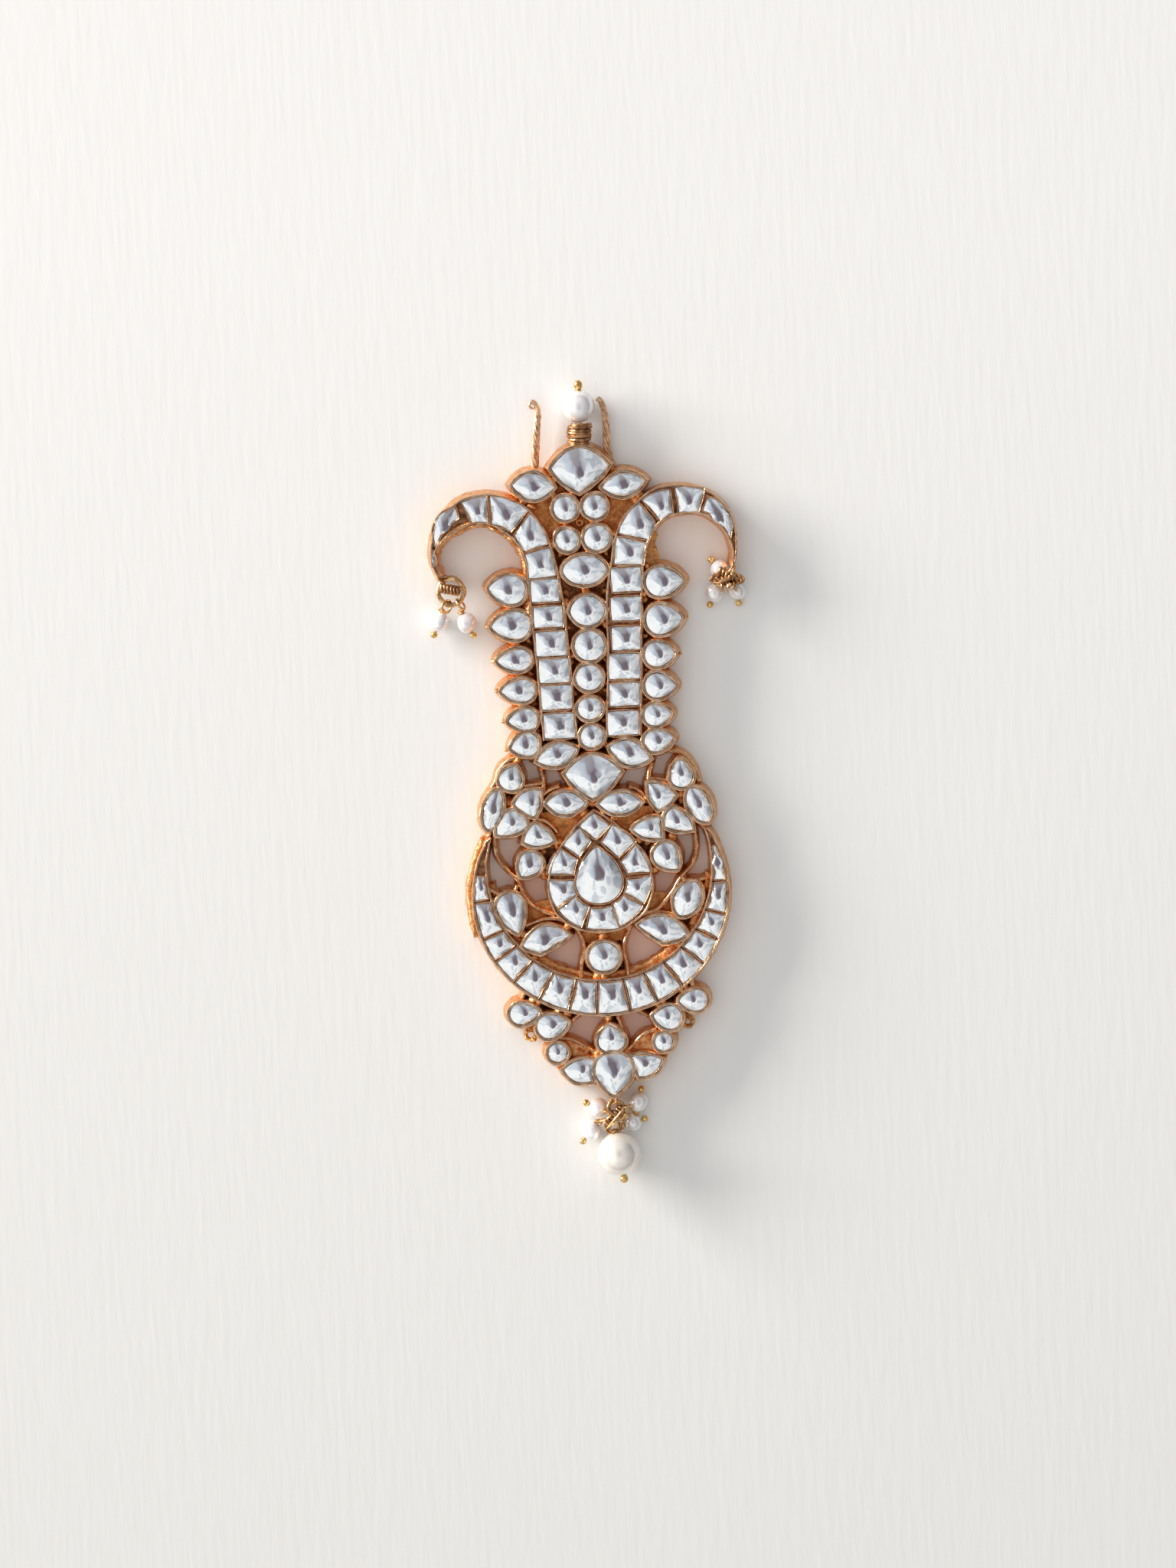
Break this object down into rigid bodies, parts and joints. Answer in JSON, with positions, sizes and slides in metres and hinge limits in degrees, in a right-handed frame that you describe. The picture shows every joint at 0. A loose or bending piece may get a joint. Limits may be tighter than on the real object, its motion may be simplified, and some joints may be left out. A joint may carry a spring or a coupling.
{
  "type": "turban ornament",
  "caption": "Long gold turban ornament set with foiled glass stones: a pearl finial, two curled side arms and a round lower field, with pearls hung on rings from the arms and the tip.",
  "frame": {"origin": "under the middle of the ornament's box, at the level of its flat back", "axes": "+X across the ornament to its right as seen from the front, +Y along it to the finial, +Z out of its front"},
  "size_m": [0.0578, 0.1468, 0.008],
  "materials": {
    "gold": "worn rose gold plating over cast and sheet metal",
    "pale_gold": "polished yellow gold wire",
    "foiled_glass": "clear cut glass over silver foil",
    "pearl": "pearl lustre"
  },
  "bodies": {
    "root": {"frame": "gold", "marquise_top_left": "foiled_glass", "marquise_top_right": "foiled_glass", "round_stone_upper_left": "foiled_glass", "round_stone_upper_right": "foiled_glass", "round_stone_lower_left": "foiled_glass", "round_stone_lower_right": "foiled_glass", "marquise_waist_left": "foiled_glass", "marquise_waist_right": "foiled_glass", "marquise_crown_left": "foiled_glass", "marquise_crown_right": "foiled_glass", "centre_pear_stone": "foiled_glass", "round_stone_base": "foiled_glass", "bottom_pear_stone": "foiled_glass", "fan_stone_top": "foiled_glass", "fan_stone_lower": "foiled_glass", "finial_pearl": "pearl", "link_left": "pale_gold", "link_right": "pale_gold", "ring_bottom": "pale_gold", "ring_drop": "pale_gold", "pearl_left_1": "pearl", "pin_left_1": "pale_gold", "pearl_left_2": "pearl", "pin_left_2": "pale_gold", "pearl_right_1": "pearl", "pin_right_1": "pale_gold", "pearl_right_2": "pearl", "pin_right_2": "pale_gold", "pearl_right_3": "pearl", "pin_right_3": "pale_gold", "pearl_bottom_1": "pearl", "pin_bottom_1": "pale_gold", "pearl_bottom_2": "pearl", "pin_bottom_2": "pale_gold", "pearl_bottom_3": "pearl", "pin_bottom_3": "pale_gold", "pearl_bottom_4": "pearl", "pin_bottom_4": "pale_gold", "pearl_large": "pearl", "pin_large": "pale_gold"}
  },
  "joints": []
}
